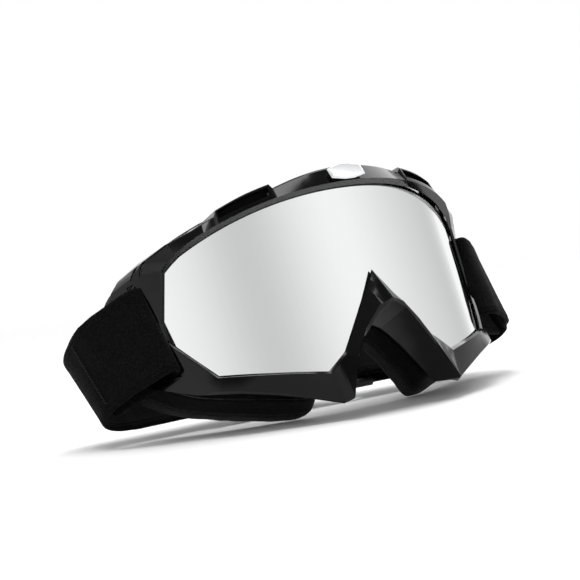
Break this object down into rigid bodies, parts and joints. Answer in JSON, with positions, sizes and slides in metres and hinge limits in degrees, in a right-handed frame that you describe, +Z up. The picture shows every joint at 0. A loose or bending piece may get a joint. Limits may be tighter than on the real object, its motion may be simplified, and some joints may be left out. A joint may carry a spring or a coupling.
{
  "type": "motocross goggles",
  "caption": "Wraparound riding goggles: faceted gloss frame, bent mirror lens, vented brow, two-layer face foam and an elastic head strap with ring and sliding adjuster.",
  "frame": {"origin": "on the table under the middle of the goggles' bounding box", "axes": "+X to the wearer's left, -Y the way the wearer looks, +Z up; the goggles lean back 16 degrees on their foam, as they rest on a table"},
  "size_m": [0.2148, 0.1126, 0.1042],
  "materials": {
    "gloss_black": "high gloss moulded",
    "satin_black": "satin moulded",
    "mirror_lens": "mirror coated",
    "silver_plate": "satin silver",
    "filter_foam": "open-cell filter foam",
    "charcoal_foam": "dense foam",
    "soft_foam": "soft fleece-faced foam",
    "black_webbing": "velvety elastic webbing",
    "buckle_plastic": "satin moulded",
    "black_thread": "matt thread"
  },
  "bodies": {
    "goggles": {"outer_frame": "gloss_black", "lens": "mirror_lens", "face_frame": "satin_black", "face_foam": "charcoal_foam", "face_lining": "soft_foam", "brow_badge": "silver_plate", "vent_foam_centre": "filter_foam", "vent_foam_left": "filter_foam", "vent_foam_right": "filter_foam", "scoop_foam_left": "filter_foam", "scoop_foam_right": "filter_foam", "strap_end_left": "black_webbing", "strap_end_right": "black_webbing", "end_tack_left": "black_thread", "end_tack_right": "black_thread"},
    "strap": {"strap_long_band": "black_webbing", "strap_short_band": "black_webbing", "strap_ring": "buckle_plastic", "bar_tack": "black_thread"},
    "slider": {"strap_slider": "buckle_plastic"}
  },
  "joints": [
    {"name": "strap_swing", "type": "hinge", "parent": "goggles", "child": "strap", "pos_m": [0, 0.01456, 0.03495], "axis": [1, 0, 0], "range_deg": [-8, 20]},
    {"name": "slider_slide", "type": "slide", "parent": "strap", "child": "slider", "axis": [1, 0, 0], "range_m": [-0.01, 0.01]}
  ]
}
